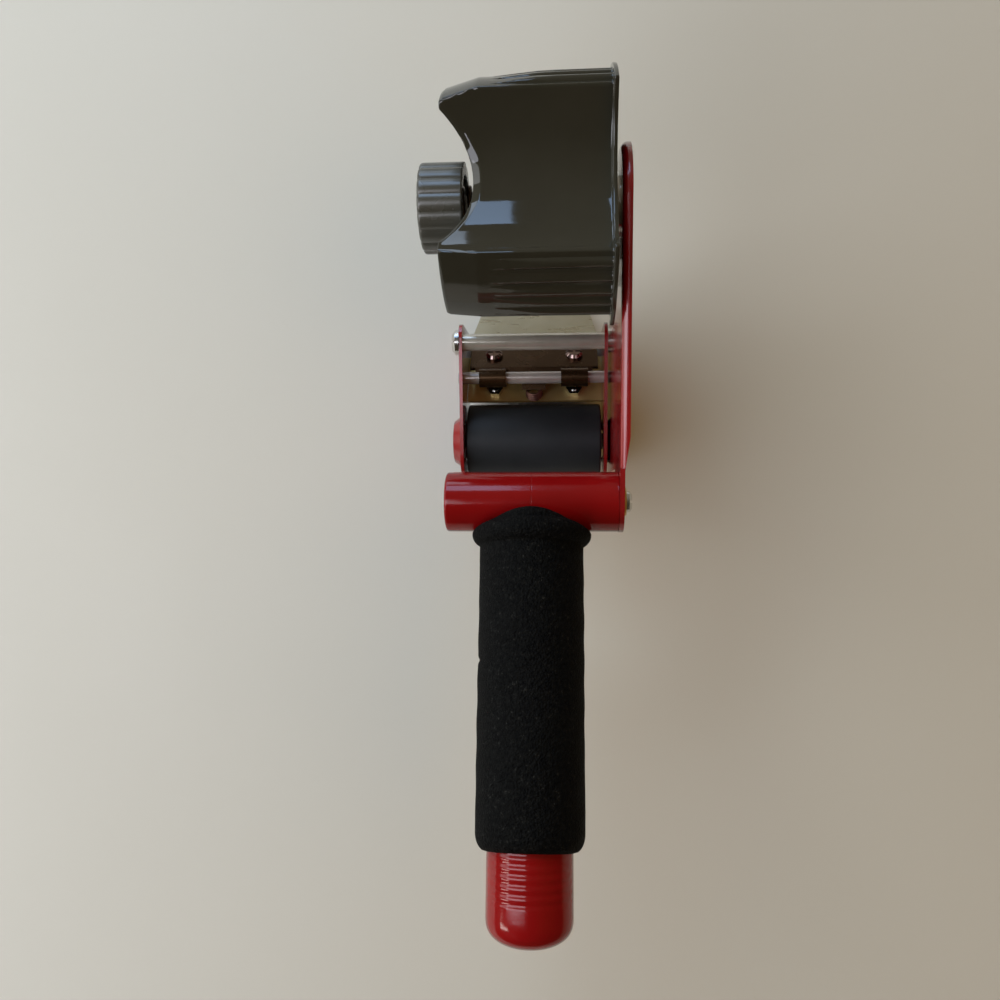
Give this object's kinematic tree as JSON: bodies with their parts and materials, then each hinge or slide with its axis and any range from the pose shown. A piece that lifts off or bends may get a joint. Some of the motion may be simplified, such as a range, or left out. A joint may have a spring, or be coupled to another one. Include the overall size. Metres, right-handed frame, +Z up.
{
  "type": "packing tape dispenser",
  "caption": "Pistol-grip packing tape dispenser with a lobed tape hub, tension knob, rubber roller, sprung wiper, serrated blade and a foam handle.",
  "frame": {"origin": "on the tape hub's axis, at the middle of the tape's width", "axes": "+X along the hub's stud toward the side plate, +Y from the handle to the hub, +Z up from the surface that the head stands on"},
  "size_m": [0.0657, 0.2602, 0.1064],
  "materials": {
    "red_paint": "gloss",
    "red_plastic": "gloss",
    "grey_plastic": "gloss",
    "black_foam": "matte",
    "black_rubber": "satin",
    "dark_plastic": "satin",
    "plated_steel": "polished",
    "yellow_zinc": "satin",
    "spring_steel": "satin",
    "blade_steel": "satin",
    "brass": "satin",
    "fibre": "matte",
    "white_plastic": "satin"
  },
  "bodies": {
    "frame": {"side_plate": "red_paint", "hub_stud": "plated_steel", "friction_washer": "fibre", "thrust_washer": "plated_steel", "tension_spring": "spring_steel", "handle_left": "red_plastic", "handle_right": "red_plastic", "foam_grip": "black_foam", "handle_bolt": "plated_steel", "handle_washer": "yellow_zinc", "handle_nut": "plated_steel", "left_cheek": "red_paint", "right_cheek": "red_paint", "cheek_spacer": "plated_steel", "guide_bar": "plated_steel", "guide_bar_screws": "plated_steel", "hinge_rod": "plated_steel", "blade_carrier": "yellow_zinc", "cutter_blade": "blade_steel", "blade_screws": "plated_steel", "blade_nuts": "plated_steel", "roller_axle": "plated_steel", "wiper_spring": "spring_steel"},
    "hub": {"tape_hub": "grey_plastic", "hub_bush": "white_plastic"},
    "knob_washer": {"keyed_washer": "plated_steel"},
    "knob": {"tension_knob": "grey_plastic", "knob_nut": "brass"},
    "roller": {"roller_sleeve": "black_rubber", "roller_core": "dark_plastic", "roller_bushes": "white_plastic"},
    "flap": {"flap_plate": "plated_steel", "wiper": "blade_steel", "flap_screws": "plated_steel", "flap_nuts": "plated_steel"}
  },
  "joints": [
    {"name": "hub_spin", "type": "hinge", "parent": "frame", "child": "hub", "pos_m": [0, 0, 0], "axis": [1, 0, 0], "continuous": true},
    {"name": "knob_travel", "type": "slide", "parent": "frame", "child": "knob_washer", "axis": [1, 0, 0], "range_m": [-0.00125, 0.0025], "deforming": ["tension_spring"]},
    {"name": "knob_turn", "type": "hinge", "parent": "knob_washer", "child": "knob", "pos_m": [0, 0, 0], "axis": [1, 0, 0], "range_deg": [-380, 740]},
    {"name": "roller_spin", "type": "hinge", "parent": "frame", "child": "roller", "pos_m": [0, -0.0693, -0.0594], "axis": [1, 0, 0], "continuous": true},
    {"name": "flap_swing", "type": "hinge", "parent": "frame", "child": "flap", "pos_m": [0, -0.04665, -0.047], "axis": [1, 0, 0], "range_deg": [-6, 30], "stiffness_Nm_per_rad": 0.005, "springref_deg": -17.19, "deforming": ["wiper_spring"]}
  ],
  "couplings": [
    {"joint": "knob_turn", "follows": "knob_travel", "rad_per_m": 5026.5}
  ]
}
